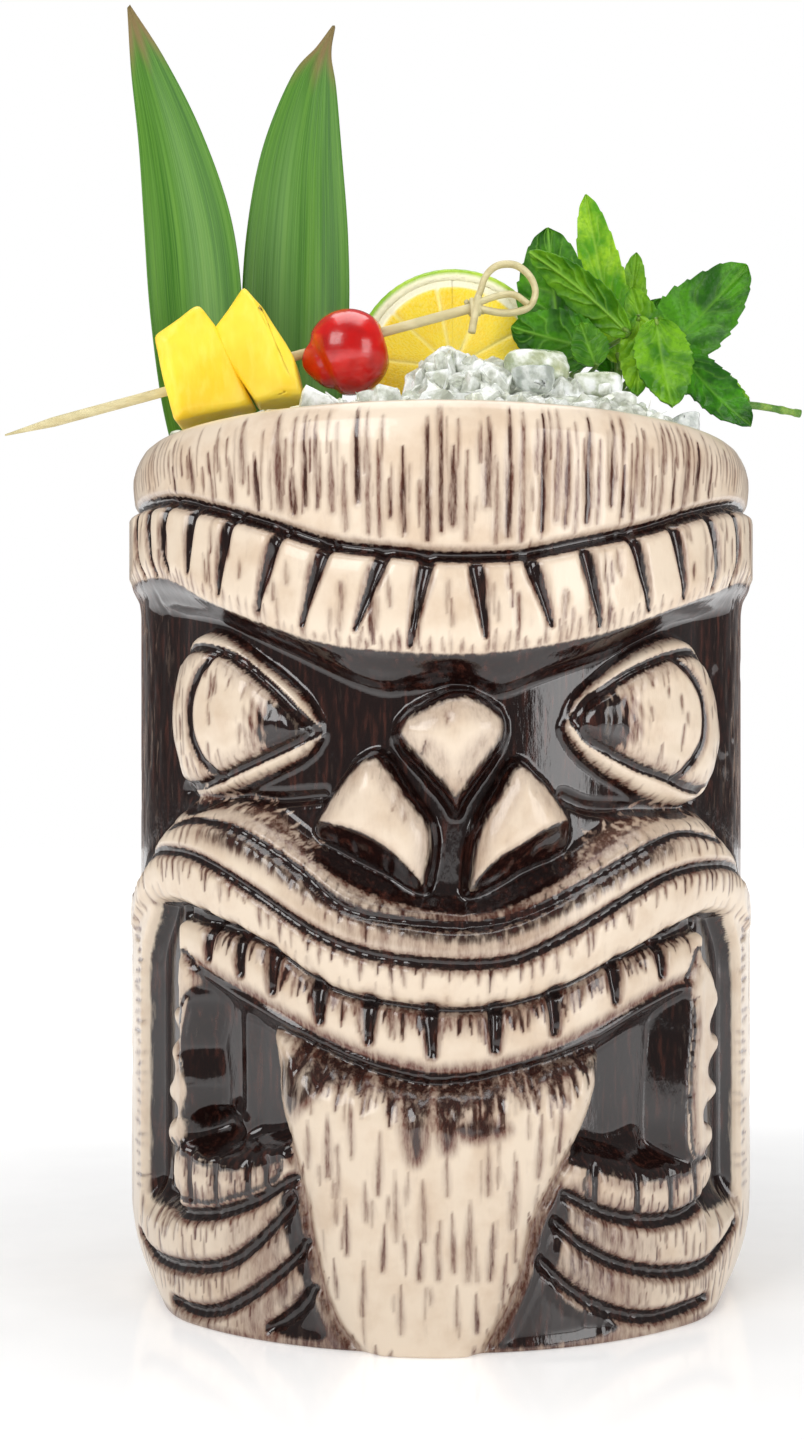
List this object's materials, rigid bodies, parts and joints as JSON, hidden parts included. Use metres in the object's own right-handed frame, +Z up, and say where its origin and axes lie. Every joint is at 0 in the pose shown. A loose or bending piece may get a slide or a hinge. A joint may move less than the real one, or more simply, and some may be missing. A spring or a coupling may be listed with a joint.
{
  "type": "tiki mug",
  "caption": "Cylindrical slip-cast tiki mug with a carved open-mouthed face and tongue, filled with crushed ice and a lift-out pineapple, cherry, citrus and mint garnish.",
  "frame": {"origin": "centre of the mug's flat foot, on the surface it stands on", "axes": "+Z up along the mug's axis; the carved face looks along -Y; +X is the viewer's right"},
  "size_m": [0.1195, 0.0973, 0.1972],
  "materials": {
    "mug_glaze": "gloss",
    "ice": "gloss",
    "crown_leaf": "satin",
    "bamboo": "satin",
    "fruit": "satin",
    "cherry": "gloss",
    "citrus_peel": "satin",
    "citrus_flesh": "satin",
    "mint_leaf": "satin",
    "mint_stem": "satin"
  },
  "bodies": {
    "mug": {"mug_body": "mug_glaze"},
    "ice": {"ice_bed": "ice", "ice_lump_1": "ice", "ice_lump_2": "ice", "ice_lump_3": "ice", "ice_lump_4": "ice", "ice_lump_5": "ice", "ice_lump_6": "ice", "ice_lump_7": "ice", "ice_lump_8": "ice", "ice_lump_9": "ice", "ice_lump_10": "ice", "ice_lump_11": "ice", "ice_lump_12": "ice", "ice_lump_13": "ice", "ice_lump_14": "ice"},
    "leaf_left": {"pineapple_leaf_left": "crown_leaf"},
    "leaf_right": {"pineapple_leaf_right": "crown_leaf"},
    "pick": {"cocktail_pick": "bamboo"},
    "fruit_outer": {"fruit_chunk_outer": "fruit"},
    "fruit_inner": {"fruit_chunk_inner": "fruit"},
    "cherry": {"cherry": "cherry"},
    "citrus": {"citrus_rind": "citrus_peel", "citrus_flesh": "citrus_flesh"},
    "mint_left": {"mint_stem_left": "mint_stem", "mint_leaf_left_1": "mint_leaf", "mint_leaf_left_2": "mint_leaf", "mint_leaf_left_3": "mint_leaf", "mint_leaf_left_4": "mint_leaf"},
    "mint_middle": {"mint_stem_middle": "mint_stem", "mint_leaf_middle_1": "mint_leaf", "mint_leaf_middle_2": "mint_leaf", "mint_leaf_middle_3": "mint_leaf", "mint_leaf_middle_4": "mint_leaf"},
    "mint_right": {"mint_stem_right": "mint_stem", "mint_leaf_right_1": "mint_leaf", "mint_leaf_right_2": "mint_leaf", "mint_leaf_right_3": "mint_leaf", "mint_leaf_right_4": "mint_leaf"}
  },
  "joints": [
    {"name": "ice_lift", "type": "slide", "parent": "mug", "child": "ice", "axis": [0, 0, 1], "range_m": [0, 0.12]},
    {"name": "leaf_left_lift", "type": "slide", "parent": "ice", "child": "leaf_left", "axis": [0, 0, 1], "range_m": [0, 0.03]},
    {"name": "leaf_right_lift", "type": "slide", "parent": "ice", "child": "leaf_right", "axis": [0, 0, 1], "range_m": [0, 0.03]},
    {"name": "pick_lift", "type": "slide", "parent": "ice", "child": "pick", "axis": [0, 0, 1], "range_m": [0, 0.04]},
    {"name": "fruit_outer_slide", "type": "slide", "parent": "pick", "child": "fruit_outer", "axis": [0.9648, 0, 0.2629], "range_m": [0, 0.003]},
    {"name": "fruit_inner_slide", "type": "slide", "parent": "fruit_outer", "child": "fruit_inner", "axis": [0.9648, 0, 0.2629], "range_m": [0, 0.003]},
    {"name": "cherry_slide", "type": "slide", "parent": "fruit_inner", "child": "cherry", "axis": [0.9648, 0, 0.2629], "range_m": [0, 0.004]},
    {"name": "citrus_lift", "type": "slide", "parent": "ice", "child": "citrus", "axis": [0, 0, 1], "range_m": [0, 0.03]},
    {"name": "mint_left_lift", "type": "slide", "parent": "ice", "child": "mint_left", "axis": [0, 0, 1], "range_m": [0, 0.03]},
    {"name": "mint_middle_lift", "type": "slide", "parent": "ice", "child": "mint_middle", "axis": [0, 0, 1], "range_m": [0, 0.03]},
    {"name": "mint_right_lift", "type": "slide", "parent": "ice", "child": "mint_right", "axis": [0, 0, 1], "range_m": [0, 0.03]}
  ]
}
